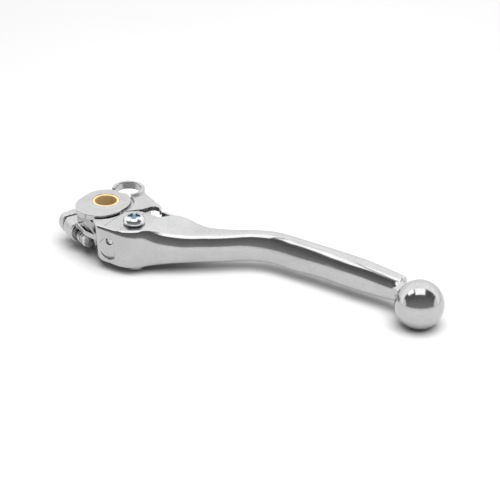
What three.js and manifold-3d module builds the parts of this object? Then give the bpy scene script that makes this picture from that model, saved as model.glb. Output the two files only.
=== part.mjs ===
// Clutch lever, in two hinged pieces: a pivot bracket, which swings on the perch bolt and pulls the
// cable nipple, and a ball-ended blade, which can fold forward about the knuckle screw.
// Millimetres. The origin is on the perch bolt's axis, +Z runs along that axis, +X points along the
// outer run of the blade towards its ball, and Z = 0 is the plane that the lever lies on.
import * as THREE from 'three';
import { mergeVertices } from 'three/addons/utils/BufferGeometryUtils.js';
import Module from 'manifold-3d';

const wasm = await Module();
wasm.setup();

// ---------------------------------------------------------------- driving dimensions
const PIVOT_BORE = 4.0;           // radius of the bush's bore, for an 8 mm perch bolt
const PIVOT_BUSH = 5.0;           // outer radius of the bush
const TUBE = 6.3;                 // radius of the pivot tube
const BOSS = 9.0;                 // radius of the round ends of the boss
const BOSS_CENTRES = [[0.2, 0], [0.2, -3.9]];
const BOSS_TOP = 18.3;
const BOSS_UNDER = 16.2;
const TUBE_BOTTOM = 0.4;
const HEAD_TOP = 17.5;            // top of the blade's upper ear and of the bracket's plate
const HEAD_BOTTOM = 3.0;
const UPPER_EAR = 3.2;            // thickness of the blade's upper ear
const LOWER_EAR = 2.6;            // thickness of the blade's lower ear
const SLOT = [HEAD_BOTTOM + LOWER_EAR, HEAD_TOP - UPPER_EAR];
const SLOT_MIDDLE = (SLOT[0] + SLOT[1]) / 2;
const TONGUE = [SLOT[0] + 0.9, SLOT[1] - 0.9];
const KNUCKLE = [18.1, -7.6];     // where the blade's hinge axis stands
const EAR_RADIUS = 9.3;
const END_SLOPE = 4;              // how far the blade's inner end leans, in degrees
const TONGUE_RADIUS = 6.8;
const SLOT_RADIUS = 7.2;
const RUN = 0.3;                  // clearance between neighbours
const RING_CENTRE = [0.9, 12.85];
const RING_OUTER = 6.1;
const RING_INNER = 4.7;
const RING_UNDER = 15.2;
const PLATE_UNDER = 15.5;
const BALL_RADIUS = 8.75;
const BALL_CENTRE = [126.2, 10.3, 8.75];
const NECK_RADIUS = 3.2;
const SLEEVE = 3.0;               // outer radius of the sleeve nut's barrel
const SCREW_SHANK = 2.0;
const SCREW_HEAD = 4.2;
const SCREW_HEAD_HEIGHT = 3.2;
const FLANGE = 4.5;               // radius of the sleeve nut's flange
const FLANGE_HEIGHT = 1.5;
const SHOULDER = 3.9;             // radius of the step between the flange and the blade
const SPOT_FACE = 5.1;            // radius of the seat milled for it under the blade
const LUG_RADIUS = 4.55;
const LUG_FLAT = 12.0;            // height of the flat along the top of both lugs
const LUG_ORIGIN = new THREE.Vector3(-10.86, -5.84, 8.4);
const LUG_DIRECTION = new THREE.Vector3(Math.cos(-0.5), Math.sin(-0.5), 0);
const REAR_LUG = [-3.4, 0];       // the bracket's lug, measured along the lug axis
const FRONT_LUG = [0.8, 7.4];     // the blade's lug
const ADJUSTER_DROP = 1.3;        // how far the adjuster's axis lies below the lugs' middle
const ADJUSTER_THREAD = 2.0;
const ADJUSTER_HEAD = 2.5;
const ADJUSTER_SPRING = [7.7, 10.3];
const ADJUSTER_WASHER = [10.6, 11.2];
const ADJUSTER_HEAD_SPAN = [11.5, 13.9];
const ADJUSTER_TRAVEL = 2.5;
const SPRING_POCKET = 2.85;
const BRIDGE_TOP = 15.6;
const SPRING_WIRE = 0.26;
const PAD_RADIUS = 1.75;
const COIL_RADIUS = 5.5;          // mean radius of the return spring
const COIL_WIRE = 0.5;
const COIL_FLOOR = 11.2;
const HUB_RADIUS = 4.4;
const ANCHOR_PLACE = [12.7, -15.4, 11.9];
const ANCHOR_PIN = 1.25;
const RECESS_RADIUS = 4.1;        // the D-shaped recess that the pin is pressed into
const RECESS_CENTRE = [13.1, 9.35];
const RECESS_EDGE = 15.5;
const RECESS_MOUTH = -22;         // clear of the blade's near face
const RECESS_START = -16.65;      // where the recess's floor begins, just inside that face
const RECESS_SLANT = 0.22;        // how fast its floor deepens to the right

// The blade's body, from its inner end to the ball: near and far sides, underside and top, and how
// far the near and far edges are rounded, at each distance along X.
const BLADE = [
  { x: 1.0, near: -16.8, far: 1.4, low: 4.6, high: 17.5, round: 0.7, roundFar: 0.5 },
  { x: 8.0, near: -16.8, far: 1.4, low: 4.4, high: 17.5, round: 1.3, roundFar: 0.5 },
  { x: 10.5, near: -16.8, far: 1.4, low: 3.5, high: 17.5, round: 1.5, roundFar: 0.5 },
  { x: 13.5, near: -16.8, far: 1.4, low: 3.4, high: 17.5, round: 1.7, roundFar: 0.5 },
  { x: 17.0, near: -16.7, far: 1.4, low: 3.1, high: 17.5, round: 2.1, roundFar: 0.5 },
  { x: 20.0, near: -15.95, far: 1.4, low: 2.9, high: 17.5, round: 2.8, roundFar: 0.5 },
  { x: 23.0, near: -14.3, far: 1.6, low: 2.9, high: 17.4, round: 3.7, roundFar: 0.6 },
  { x: 26.0, near: -11.5, far: 7, low: 3.2, high: 16.7, round: 4.4, roundFar: 1.0 },
  { x: 30.0, near: -8.9, far: 9.8, low: 3.7, high: 15.6, round: 4.9, roundFar: 2.0 },
  { x: 34.0, near: -6.3, far: 10, low: 4, high: 14.95, round: 5.2, roundFar: 3.2 },
  { x: 38.0, near: -3.6, far: 10.2, low: 4.2, high: 14.6, round: 5.4, roundFar: 3.6 },
  { x: 42.0, near: -0.5, far: 11.3, low: 4.2, high: 14.5, round: 5.4, roundFar: 3.6 },
  { x: 46.0, near: 2.4, far: 13.3, low: 4.2, high: 14.4, round: 5.4, roundFar: 3.6 },
  { x: 50.0, near: 5.5, far: 15.5, low: 4.2, high: 14.4, round: 5.4, roundFar: 3.4 },
  { x: 54.0, near: 8.6, far: 17.8, low: 4.2, high: 14.5, round: 5.4, roundFar: 3.2 },
  { x: 58.0, near: 11.0, far: 19.7, low: 4.2, high: 14.5, round: 5.2, roundFar: 3.0 },
  { x: 62.0, near: 12.5, far: 20.9, low: 4.2, high: 14.6, round: 5.1, roundFar: 3.0 },
  { x: 66.0, near: 13.1, far: 21.3, low: 4.2, high: 14.6, round: 5.0, roundFar: 2.8 },
  { x: 80.0, near: 13.1, far: 21.2, low: 4.2, high: 14.6, round: 5.0, roundFar: 2.8 },
  { x: 98.0, near: 12.4, far: 20.8, low: 4.2, high: 14.5, round: 5.0, roundFar: 2.8 },
  { x: 108.0, near: 12.3, far: 20.3, low: 4.4, high: 13.9, round: 5.0, roundFar: 2.7 },
  { x: 112.0, near: 12.3, far: 20.0, low: 4.6, high: 13.5, round: 4.6, roundFar: 2.6 },
  { x: 116.0, near: 12.6, far: 19.6, low: 4.9, high: 13.1, round: 4.3, roundFar: 2.4 },
];
const BLADE_STEP = 2.4;           // spacing of the blade's cross-sections
const CORNER_STEPS = 5;           // facets in each rounded edge of a cross-section

const COLOURS = {
  polished: { color: 0xc9cbcd, roughness: 0.22, metalness: 1.0 },
  satin: { color: 0xc4c6c8, roughness: 0.4, metalness: 1.0 },
  bronze: { color: 0xb58a42, roughness: 0.35, metalness: 1.0 },
  zinc: { color: 0xaab6ba, roughness: 0.28, metalness: 1.0 },
  steel: { color: 0x8c8f92, roughness: 0.35, metalness: 1.0 },
};

// ---------------------------------------------------------------- solids
function toSolid(geometry) {
  const bare = geometry.clone();
  bare.deleteAttribute('normal');
  bare.deleteAttribute('uv');
  const merged = mergeVertices(bare, 1e-4);
  const vertProperties = new Float32Array(merged.attributes.position.array);
  const triVerts = new Uint32Array(merged.index.array);
  return new wasm.Manifold(new wasm.Mesh({ numProp: 3, vertProperties, triVerts }));
}

function toGeometry(solid) {
  const mesh = solid.getMesh();
  const geometry = new THREE.BufferGeometry();
  geometry.setAttribute('position', new THREE.BufferAttribute(new Float32Array(mesh.vertProperties), 3));
  geometry.setIndex(new THREE.BufferAttribute(new Uint32Array(mesh.triVerts), 1));
  geometry.computeVertexNormals();
  return geometry;
}

function prism(shape, low, high, curveSegments = 12) {
  const geometry = new THREE.ExtrudeGeometry(shape, {
    depth: high - low, bevelEnabled: false, curveSegments,
  });
  geometry.translate(0, 0, low);
  return toSolid(geometry);
}

function polygon(points) {
  return new THREE.Shape(points.map(([x, y]) => new THREE.Vector2(x, y)));
}

function stadium(radius) {
  const [[x, top], [, bottom]] = BOSS_CENTRES;
  const shape = new THREE.Shape();
  shape.absarc(x, top, radius, 0, Math.PI, false);
  shape.absarc(x, bottom, radius, Math.PI, Math.PI * 2, false);
  shape.closePath();
  return shape;
}

function rod(from, to, radius, segments = 32) {
  const span = to.clone().sub(from);
  const geometry = new THREE.CylinderGeometry(radius, radius, span.length(), segments);
  const upward = new THREE.Vector3(0, 1, 0);
  geometry.applyQuaternion(new THREE.Quaternion().setFromUnitVectors(upward, span.clone().normalize()));
  const middle = from.clone().add(to).multiplyScalar(0.5);
  geometry.translate(middle.x, middle.y, middle.z);
  return toSolid(geometry);
}

function upright([x, y], low, high, radius, segments = 40) {
  return rod(new THREE.Vector3(x, y, low), new THREE.Vector3(x, y, high), radius, segments);
}

function turned(profile, [x, y], segments = 40) {
  const geometry = new THREE.LatheGeometry(profile.map(([r, z]) => new THREE.Vector2(r, z)), segments);
  geometry.rotateX(Math.PI / 2);
  geometry.translate(x, y, 0);
  return toSolid(geometry);
}

function aroundKnuckle(radius, degrees) {
  const angle = THREE.MathUtils.degToRad(degrees);
  return [KNUCKLE[0] + radius * Math.cos(angle), KNUCKLE[1] + radius * Math.sin(angle)];
}

function alongLug(distance) {
  return LUG_ORIGIN.clone().addScaledVector(LUG_DIRECTION, distance);
}

function besideLug(along, across) {
  const place = alongLug(along);
  return [place.x - LUG_DIRECTION.y * across, place.y + LUG_DIRECTION.x * across];
}

function lugRod(span, radius, segments, drop = 0) {
  const [from, to] = span.map((distance) => alongLug(distance).setZ(LUG_ORIGIN.z - drop));
  return rod(from, to, radius, segments);
}

function adjusterRod(span, radius, segments) {
  return lugRod(span, radius, segments, ADJUSTER_DROP);
}

function belowFlat(solid) {
  const above = polygon([[-30, -30], [30, -30], [30, 30], [-30, 30]]);
  return solid.subtract(prism(above, LUG_FLAT, BOSS_TOP + 5));
}

// A tube along a curve, with flat ends.
function wire(curve, radius, steps, sides = 8) {
  const section = new THREE.Shape();
  section.absarc(0, 0, radius, 0, Math.PI * 2, false);
  const geometry = new THREE.ExtrudeGeometry(section, {
    steps, bevelEnabled: false, extrudePath: curve, curveSegments: sides / 2,
  });
  return toSolid(geometry);
}

class Helix extends THREE.Curve {
  constructor(place, radius, pitch, turns, phase) {
    super();
    Object.assign(this, { place, radius, pitch, turns, phase });
  }

  getPoint(t, target = new THREE.Vector3()) {
    const angle = this.phase + t * this.turns * Math.PI * 2;
    target.set(this.radius * Math.cos(angle), this.radius * Math.sin(angle), t * this.turns * this.pitch);
    return target.applyMatrix4(this.place);
  }
}

// ---------------------------------------------------------------- the blade's body
function bladeAt(x) {
  const beyond = BLADE.slice(0, -1).findIndex((station, i) => BLADE[i + 1].x >= x);
  const index = beyond < 0 ? BLADE.length - 2 : beyond;
  const [before, from, to, after] = [index - 1, index, index + 1, index + 2]
    .map((i) => BLADE[Math.min(BLADE.length - 1, Math.max(0, i))]);
  const width = to.x - from.x;
  const t = (x - from.x) / width;
  const blend = (key) => {
    const slopeFrom = (to[key] - before[key]) / (to.x - before.x);
    const slopeTo = (after[key] - from[key]) / (after.x - from.x);
    const h = t * t * (3 - 2 * t);
    const bend = t * (1 - t) * (1 - t) * slopeFrom - t * t * (1 - t) * slopeTo;
    return from[key] * (1 - h) + to[key] * h + bend * width;
  };
  const keys = ['near', 'far', 'low', 'high', 'round', 'roundFar'];
  return Object.fromEntries(keys.map((key) => [key, blend(key)]));
}

function bladeSection(x) {
  const { near, far, low, high, round, roundFar } = bladeAt(x);
  const tall = (high - low) / 2 - 0.02;
  const corners = [
    { y: near, z: low, share: 0.6, radius: Math.min(round, 4.8) * 0.8, start: Math.PI },
    { y: far, z: low, share: 0.39, radius: roundFar, start: Math.PI * 1.5 },
    { y: far, z: high, share: 0.39, radius: roundFar, start: 0 },
    { y: near, z: high, share: 0.6, radius: round, start: Math.PI / 2 },
  ];
  return corners.flatMap(({ y, z, share, radius, start }) => {
    const across = Math.min(radius, (far - near) * share);
    const upward = Math.min(radius, tall);
    const centreY = y + (y === near ? across : -across);
    const centreZ = z + (z === low ? upward : -upward);
    return Array.from({ length: CORNER_STEPS + 1 }, (_, i) => {
      const angle = start + (i / CORNER_STEPS) * (Math.PI / 2);
      return new THREE.Vector3(x, centreY + across * Math.cos(angle), centreZ + upward * Math.sin(angle));
    });
  });
}

function loft(sections) {
  const count = sections[0].length;
  const points = sections.flat();
  const triangles = [];
  for (let i = 0; i + 1 < sections.length; i += 1) {
    for (let j = 0; j < count; j += 1) {
      const a = i * count + j;
      const b = i * count + ((j + 1) % count);
      triangles.push(a, b, b + count, a, b + count, a + count);
    }
  }
  const closeEnd = (offset, order) => {
    const centre = new THREE.Vector3();
    sections[offset].forEach((point) => centre.addScaledVector(point, 1 / count));
    const hub = points.push(centre) - 1;
    for (let j = 0; j < count; j += 1) {
      const rim = [offset * count + j, offset * count + ((j + 1) % count)];
      triangles.push(hub, rim[order], rim[1 - order]);
    }
  };
  closeEnd(0, 1);
  closeEnd(sections.length - 1, 0);
  const geometry = new THREE.BufferGeometry().setFromPoints(points);
  geometry.setIndex(triangles);
  return toSolid(geometry);
}

function bladeBody() {
  const first = BLADE[0].x;
  const last = BLADE[BLADE.length - 1].x;
  const steps = Math.round((last - first) / BLADE_STEP);
  const places = Array.from({ length: steps + 1 }, (_, i) => first + (last - first) * (i / steps));
  return loft(places.map(bladeSection));
}

function ball() {
  const geometry = new THREE.SphereGeometry(BALL_RADIUS, 36, 22);
  geometry.rotateX(Math.PI / 2);
  geometry.translate(...BALL_CENTRE);
  const neckRoot = new THREE.Vector3(113.0, 16.7, 9.15);
  return toSolid(geometry).add(rod(neckRoot, new THREE.Vector3(...BALL_CENTRE), NECK_RADIUS, 24));
}

// ---------------------------------------------------------------- pieces
function leverBlade() {
  const endX = 7.7;
  const innerEnd = polygon([[-30, -30], [endX, -30], [endX, -16.8], [1.8, -11.6], [1.8, 20], [-30, 20]]);
  const plateRoom = polygon([KNUCKLE, aroundKnuckle(30, 172), [-15, 30], [KNUCKLE[0], 30]]);
  const slotMouth = polygon([
    aroundKnuckle(SLOT_RADIUS, 75), aroundKnuckle(30, 110), [-15, 25], [-15, -11], [4, -11],
    aroundKnuckle(SLOT_RADIUS, 225), KNUCKLE,
  ]);
  const stopTab = polygon([[25, 3.2], [29, 4], [29.5, 8.2], [26.5, 9], [19, 9.1], [19, 8.2], [24.6, 7.6]]);
  const bridge = polygon([
    besideLug(1.1, 1.0), besideLug(6.0, 1.7), besideLug(8.0, 1.0), besideLug(19, 0.3),
    [8.5, -10.6], [-2.6, -6.1], besideLug(1.1, 4),
  ]);
  const ledge = polygon([
    besideLug(6.5, 2), besideLug(6.5, -1.8), besideLug(14, -1.8),
    besideLug(19, 0), besideLug(19, 3), besideLug(7, 3),
  ]);
  const [recessX, recessZ] = RECESS_CENTRE;
  const left = recessX - RECESS_RADIUS;
  const deepest = RECESS_START + (RECESS_EDGE - left) * RECESS_SLANT;
  const recess = rod(
    new THREE.Vector3(recessX, RECESS_MOUTH, recessZ), new THREE.Vector3(recessX, -12, recessZ),
    RECESS_RADIUS, 40,
  ).intersect(prism(polygon([
    [left, RECESS_MOUTH], [RECESS_EDGE, RECESS_MOUTH], [RECESS_EDGE, deepest], [left, RECESS_START],
  ]), -5, 25));

  const whole = bladeBody().add(ball())
    .subtract(prism(innerEnd, -40, 40).translate([-endX, 0, -HEAD_TOP]).rotate([0, -END_SLOPE, 0])
      .translate([endX, 0, HEAD_TOP]))
    .subtract(prism(stadium(BOSS + 0.8), -5, 25, 24))
    .subtract(prism(plateRoom, -5, 25).subtract(upright(KNUCKLE, -6, 26, EAR_RADIUS, 64)))
    .subtract(prism(slotMouth, ...SLOT).add(upright(KNUCKLE, ...SLOT, SLOT_RADIUS, 48)));
  const innerLug = belowFlat(lugRod(FRONT_LUG, LUG_RADIUS, 40))
    .add(prism(bridge, 8, BRIDGE_TOP))
    .add(prism(ledge, LUG_ORIGIN.z - ADJUSTER_DROP + SPRING_POCKET, LUG_FLAT))
    .subtract(adjusterRod([7.4, 10.6], SPRING_POCKET, 32))
    .subtract(upright([0, 0], -5, 25, TUBE + 0.4, 48));
  return whole
    .add(innerLug)
    .add(prism(stopTab, 3.6, PLATE_UNDER - RUN))
    .subtract(adjusterRod([0, 9], ADJUSTER_THREAD + 0.15, 24))
    .subtract(adjusterRod([9, ADJUSTER_HEAD_SPAN[1] + ADJUSTER_TRAVEL + 0.4], ADJUSTER_HEAD + 0.35, 28))
    .subtract(upright(KNUCKLE, -5, 25, SLEEVE + 0.05, 32))
    .subtract(upright(KNUCKLE, -5, HEAD_BOTTOM, SPOT_FACE, 40))
    .subtract(recess)
    .subtract(rod(anchorPoint(-2), anchorPoint(3.2), ANCHOR_PIN + 0.05, 24));
}

function anchorPoint(depth) {
  return new THREE.Vector3(ANCHOR_PLACE[0], ANCHOR_PLACE[1] + depth, ANCHOR_PLACE[2]);
}

function springAnchorPin() {
  return rod(anchorPoint(0), anchorPoint(2), ANCHOR_PIN, 24);
}

function pivotBracket() {
  const plate = polygon([
    [6, -2.4], [9.6, -2.4], [13.2, 1.6], [14.6, 3.2], [15.3, 4.6], [15.7, 6.0], [17.0, 7.2], [18.6, 7.1],
    [19.6, 6.2], [20.3, 5.2], [20.7, 5.8], [19.7, 7.5], [18.3, 8.8], [15.2, 10.3], [7.6, 14.0],
    [2, 12], [-2, 9], [-4, 6],
  ]);
  const web = polygon([
    [2, 6.5], [4.4, 7.4], [5.6, 9.4], [7.2, 12.0], [11.5, 10.2], [14.2, 8.4], [14.2, 5.0], [12.6, 2.6],
    [10.2, 0.6], [6, 0],
  ]);
  const neck = polygon([[2.3, 5.5], [-2.3, -5.5], aroundKnuckle(5.7, 247), aroundKnuckle(5.7, 67)]);
  const lugLink = polygon([
    besideLug(REAR_LUG[0], 0), besideLug(REAR_LUG[1], 0), besideLug(REAR_LUG[1], 5.3),
    besideLug(2.5, 5.5), besideLug(2.5, 12.5), besideLug(-2.0, 11), besideLug(REAR_LUG[0], 5),
  ]);

  const plates = prism(plate, PLATE_UNDER, HEAD_TOP)
    .add(upright(RING_CENTRE, RING_UNDER, BOSS_TOP, RING_OUTER, 48))
    .subtract(upright(KNUCKLE, -5, 25, EAR_RADIUS + RUN, 64))
    .subtract(prism(stadium(BOSS + 1.2), HEAD_TOP - 0.7, BOSS_TOP + 1, 24));
  const tongue = prism(neck, ...TONGUE)
    .add(upright(KNUCKLE, ...TONGUE, TONGUE_RADIUS, 40))
    .subtract(upright(KNUCKLE, COIL_FLOOR, 20, TONGUE_RADIUS + 0.3, 48)
      .subtract(upright(KNUCKLE, 0, 30, HUB_RADIUS, 40)));
  const lug = belowFlat(lugRod(REAR_LUG, LUG_RADIUS, 40))
    .add(prism(lugLink, LUG_ORIGIN.z - 3.6, LUG_FLAT));
  return upright([0, 0], TUBE_BOTTOM, BOSS_TOP, TUBE, 48)
    .add(prism(stadium(BOSS), BOSS_UNDER, BOSS_TOP, 24))
    .add(plates)
    .add(prism(web, TONGUE[0], PLATE_UNDER + 0.5))
    .add(tongue)
    .add(lug)
    .subtract(upright(RING_CENTRE, 0, 30, RING_INNER, 48))
    .subtract(upright([0, 0], -5, 25, PIVOT_BUSH + 0.02, 48))
    .subtract(upright(KNUCKLE, -5, 25, SLEEVE + 1.02, 32))
    .subtract(adjusterRod([-2.6, 5], PAD_RADIUS + 0.02, 24));
}

function pivotBush() {
  return turned([
    [PIVOT_BORE, TUBE_BOTTOM], [PIVOT_BUSH, TUBE_BOTTOM], [PIVOT_BUSH, BOSS_TOP],
    [PIVOT_BORE, BOSS_TOP], [PIVOT_BORE, TUBE_BOTTOM],
  ], [0, 0], 48);
}

// One of the two flanged bushes that line the tongue's bore.
function tongueBush(flangeFace, barrelEnd) {
  const step = flangeFace > barrelEnd ? -0.7 : 0.7;
  const points = [
    [SLEEVE + 0.05, flangeFace], [HUB_RADIUS, flangeFace], [HUB_RADIUS, flangeFace + step],
    [SLEEVE + 1, flangeFace + step], [SLEEVE + 1, barrelEnd], [SLEEVE + 0.05, barrelEnd],
  ];
  const profile = [...points, points[0]];
  return turned(step > 0 ? profile : profile.reverse(), KNUCKLE, 32);
}

function sleeveNut() {
  const top = HEAD_TOP - RUN;
  const floor = 3.0;
  return turned([
    [0, 0], [FLANGE - 0.5, 0], [FLANGE, 0.5], [FLANGE, FLANGE_HEIGHT], [SHOULDER, FLANGE_HEIGHT],
    [SHOULDER, HEAD_BOTTOM - 0.05], [SLEEVE, HEAD_BOTTOM - 0.05], [SLEEVE, top],
    [SCREW_SHANK + 0.1, top], [SCREW_SHANK + 0.1, floor], [0, floor],
  ], KNUCKLE, 40).subtract(prism(hexagon(KNUCKLE, 2.3), -1, 1.9));
}

function hexagon([x, y], radius) {
  const corners = [0, 1, 2, 3, 4, 5].map((i) => i * (Math.PI / 3));
  return polygon(corners.map((angle) => [x + radius * Math.cos(angle), y + radius * Math.sin(angle)]));
}

function crossShape([x, y], long, wide) {
  const quarter = [[long, -wide], [long, wide], [wide, wide]];
  return polygon([0, 1, 2, 3].flatMap((turn) => {
    const [cos, sin] = [Math.cos(turn * (Math.PI / 2)), Math.sin(turn * (Math.PI / 2))];
    return quarter.map(([px, py]) => [x + px * cos - py * sin, y + px * sin + py * cos]);
  }));
}

function knuckleScrew() {
  const seat = HEAD_TOP + 0.1;
  const crown = Array.from({ length: 7 }, (_, i) => {
    const angle = (i / 6) * (Math.PI / 2);
    return [1.9 + (SCREW_HEAD - 1.9) * Math.cos(angle), seat + 0.9 + (SCREW_HEAD_HEIGHT - 0.9) * Math.sin(angle)];
  });
  const head = turned([
    [0, 6], [SCREW_SHANK, 6], [SCREW_SHANK, seat], [SCREW_HEAD - 0.2, seat], ...crown,
    [0, seat + SCREW_HEAD_HEIGHT],
  ], KNUCKLE, 40);
  const recess = crossShape(KNUCKLE, 2.5, 0.6);
  return head.subtract(prism(recess, seat + 1.0, seat + 5));
}

function returnSpring() {
  const turns = 1.6;
  const place = new THREE.Matrix4().makeTranslation(KNUCKLE[0], KNUCKLE[1], COIL_FLOOR + COIL_WIRE + 0.15);
  return wire(new Helix(place, COIL_RADIUS, 1.1, turns, Math.PI * 0.1), COIL_WIRE, 56);
}

function adjusterScrew() {
  const [headFrom, headTo] = ADJUSTER_HEAD_SPAN;
  const head = adjusterRod([headFrom, headTo], ADJUSTER_HEAD, 6);
  return head.add(adjusterRod([0.25, headFrom + 0.5], ADJUSTER_THREAD, 24));
}

function adjusterWasher() {
  return adjusterRod(ADJUSTER_WASHER, ADJUSTER_HEAD - 0.1, 28)
    .subtract(adjusterRod([0, 20], ADJUSTER_THREAD + 0.1, 24));
}

function adjusterSpring() {
  const turn = new THREE.Quaternion().setFromUnitVectors(new THREE.Vector3(0, 0, 1), LUG_DIRECTION);
  const [from, to] = ADJUSTER_SPRING;
  const place = new THREE.Matrix4().compose(
    alongLug(from + SPRING_WIRE).setZ(LUG_ORIGIN.z - ADJUSTER_DROP), turn, new THREE.Vector3(1, 1, 1),
  );
  const turns = 2.5;
  const pitch = (to - from - 2 * SPRING_WIRE) / turns;
  return wire(new Helix(place, ADJUSTER_THREAD + 0.3, pitch, turns, 0), SPRING_WIRE, 60);
}

function adjusterPad() {
  return adjusterRod([-2.5, 0.05], PAD_RADIUS, 24);
}

// ---------------------------------------------------------------- assembly
const group = new THREE.Group();
group.name = 'clutch_lever';

function addPiece(name, solid, finish) {
  const mesh = new THREE.Mesh(toGeometry(solid), new THREE.MeshStandardMaterial(COLOURS[finish]));
  mesh.name = name;
  group.add(mesh);
}

addPiece('pivot_bracket', pivotBracket(), 'satin');
addPiece('pivot_bush', pivotBush(), 'bronze');
addPiece('tongue_bush_upper', tongueBush(SLOT[1] - 0.1, SLOT_MIDDLE + 0.3), 'bronze');
addPiece('tongue_bush_lower', tongueBush(SLOT[0] + 0.1, SLOT_MIDDLE - 0.3), 'bronze');
addPiece('adjuster_pad', adjusterPad(), 'steel');
addPiece('lever_blade', leverBlade(), 'polished');
addPiece('spring_anchor_pin', springAnchorPin(), 'polished');
addPiece('knuckle_sleeve_nut', sleeveNut(), 'zinc');
addPiece('knuckle_screw', knuckleScrew(), 'zinc');
addPiece('return_spring', returnSpring(), 'steel');
addPiece('adjuster_screw', adjusterScrew(), 'steel');
addPiece('adjuster_spring', adjusterSpring(), 'steel');
addPiece('adjuster_washer', adjusterWasher(), 'steel');

export default group;
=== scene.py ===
"""The looks of a hinged, ball-ended clutch lever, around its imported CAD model.

The CAD frame is in metres. The shapes below are written in millimetres in the same frame: the origin on
the perch bolt's axis, +Z along it, and +X along the blade's outer run. The metal castings are smooth
distance fields turned into quads, so that every edge has a real radius and every surface its own normal.
"""
import math

import bmesh  # noqa: E402
import bpy  # noqa: E402
import numpy as np  # noqa: E402
from mathutils import Matrix, Vector  # noqa: E402


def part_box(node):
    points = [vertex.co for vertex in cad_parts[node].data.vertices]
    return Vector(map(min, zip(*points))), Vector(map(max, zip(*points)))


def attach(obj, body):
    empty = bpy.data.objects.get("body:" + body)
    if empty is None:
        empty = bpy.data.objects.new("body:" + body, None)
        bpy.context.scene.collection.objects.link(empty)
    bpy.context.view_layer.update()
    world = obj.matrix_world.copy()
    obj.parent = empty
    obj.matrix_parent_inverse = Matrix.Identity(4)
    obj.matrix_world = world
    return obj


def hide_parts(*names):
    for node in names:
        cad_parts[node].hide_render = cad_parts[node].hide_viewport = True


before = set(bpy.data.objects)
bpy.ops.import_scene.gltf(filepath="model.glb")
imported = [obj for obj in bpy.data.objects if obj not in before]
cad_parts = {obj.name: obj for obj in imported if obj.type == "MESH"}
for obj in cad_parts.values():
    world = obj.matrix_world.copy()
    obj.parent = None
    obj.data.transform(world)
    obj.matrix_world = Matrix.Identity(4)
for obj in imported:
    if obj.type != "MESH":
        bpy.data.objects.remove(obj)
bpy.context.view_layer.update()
MM = 0.001

# ---------------------------------------------------------------- dimensions, in millimetres
PIVOT_BORE = 4.0
PIVOT_BUSH = 5.0
TUBE = 6.3
BOSS = 9.0
BOSS_NEAR = -3.9                  # the boss is a stadium from here to the pivot
BOSS_X = 0.2
BOSS_TOP = 18.3
BOSS_UNDER = 16.2
TUBE_BOTTOM = 0.4
HEAD_TOP = 17.5
HEAD_BOTTOM = 3.0
SLOT = (5.6, 14.3)
SLOT_MIDDLE = (SLOT[0] + SLOT[1]) / 2
TONGUE = (6.5, 13.4)
END_X = 7.7                       # where the blade's inner end stands at its top
END_SLOPE = math.tan(math.radians(4))  # how far that end leans
KNUCKLE = (18.1, -7.6)
EAR_RADIUS = 9.3
TONGUE_RADIUS = 6.8
SLOT_RADIUS = 7.2
RING_CENTRE = (0.9, 12.85)
RING_OUTER = 6.1
RING_INNER = 4.7
RING_UNDER = 15.2
PLATE_UNDER = 15.5
BALL_RADIUS = 8.75
BALL_CENTRE = (126.2, 10.3, 8.75)
NECK_ROOT = (113.0, 16.7, 9.15)
NECK_RADIUS = 3.2
SLEEVE = 3.0
SCREW_SHANK = 2.0
SCREW_HEAD = 4.2
SCREW_SEAT = 17.6
SCREW_HEAD_HEIGHT = 3.2
SCREW_CROWN = 1.9                 # how far the head's top is domed
CROSS_LENGTH = 2.5                # half the length of each slot of the head's cross
CROSS_WIDTH = 0.72                # half its width
CROSS_DEPTH = 2.0
CROSS_TURN = math.radians(33)
FLANGE = 4.5
FLANGE_HEIGHT = 1.5
SHOULDER = 3.9
SPOT_FACE = 5.1
LUG_RADIUS = 4.55
LUG_FLAT = 12.0
LUG_ORIGIN = (-10.86, -5.84, 8.4)
LUG_ANGLE = -0.5
REAR_LUG = (-3.4, 0.0)
FRONT_LUG = (0.8, 7.4)
ADJUSTER_THREAD = 2.0
THREAD_PITCH = 0.7
THREAD_DEPTH = 0.12
ADJUSTER_HEAD = 2.5
ADJUSTER_DROP = 1.3               # how far the adjuster's axis lies below the lugs' middle
ADJUSTER_SPRING = (7.7, 10.3)
ADJUSTER_WASHER = (10.6, 11.2)
ADJUSTER_HEAD_SPAN = (11.5, 13.9)
ADJUSTER_TRAVEL = 2.5
SPRING_POCKET = 2.85
BRIDGE_UNDER = 8.0
BRIDGE_TOP = 15.6
LEDGE_UNDER = LUG_ORIGIN[2] - ADJUSTER_DROP + SPRING_POCKET
LINK_UNDER = LUG_ORIGIN[2] - 3.6
TAB_UNDER = 3.6
RUN = 0.3                         # clearance between neighbours
THROUGH = (-5, 25)                # heights that pass the whole lever
SPRING_WIRE = 0.26
PAD_RADIUS = 1.75
COIL_RADIUS = 5.5
COIL_WIRE = 0.5
COIL_FLOOR = 11.2
HUB_RADIUS = 4.4
ANCHOR_PLACE = (12.7, -15.4, 11.9)
ANCHOR_PIN = 1.25
RECESS_RADIUS = 4.1
RECESS_PLACE = (13.1, 9.35)
RECESS_EDGE = 15.5
RECESS_GROOVE = 14.2              # how near the pivot's plane the slit along the straight edge reaches
GROOVE_WIDTH = 0.75
RECESS_FLOOR = (-16.65, 0.22)     # where the pocket's floor starts, and how fast it deepens

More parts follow.
